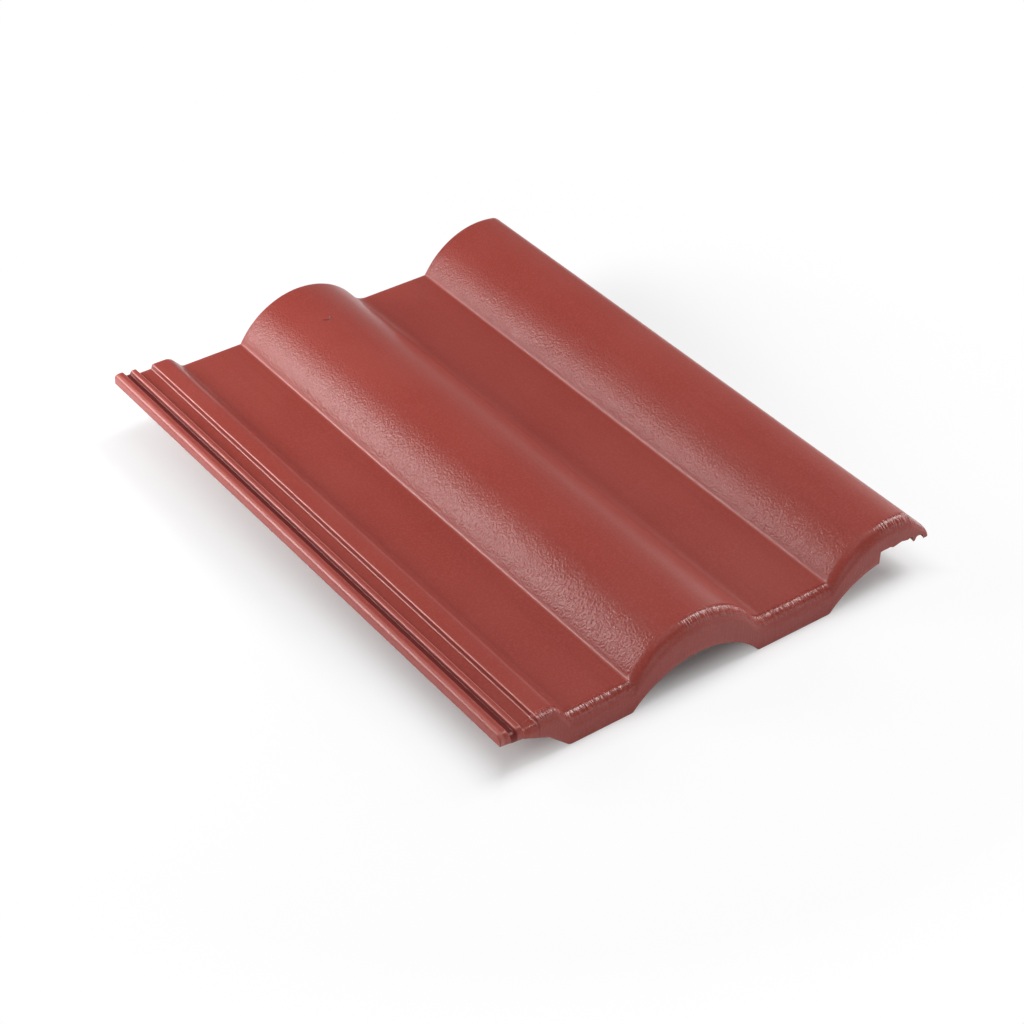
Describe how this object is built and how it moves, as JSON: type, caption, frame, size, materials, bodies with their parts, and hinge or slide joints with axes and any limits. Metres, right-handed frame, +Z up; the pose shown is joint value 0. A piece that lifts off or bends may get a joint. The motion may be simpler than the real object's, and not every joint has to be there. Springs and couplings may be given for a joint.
{
  "type": "eaves tile",
  "caption": "Interlocking concrete roof tile with rolls, flat pans, a rounded eaves edge, side locks and hanging nibs, coated red.",
  "frame": {"origin": "centre of the bounding box on the floor that the tile lies on", "axes": "+X across the tile to the cover lock, +Y from the eaves edge to the head, +Z up"},
  "size_m": [0.3214, 0.4208, 0.0612],
  "materials": {
    "red_coated_concrete": "satin red coating on cast concrete"
  },
  "bodies": {
    "root": {"roof_tile": "red_coated_concrete"}
  },
  "joints": []
}
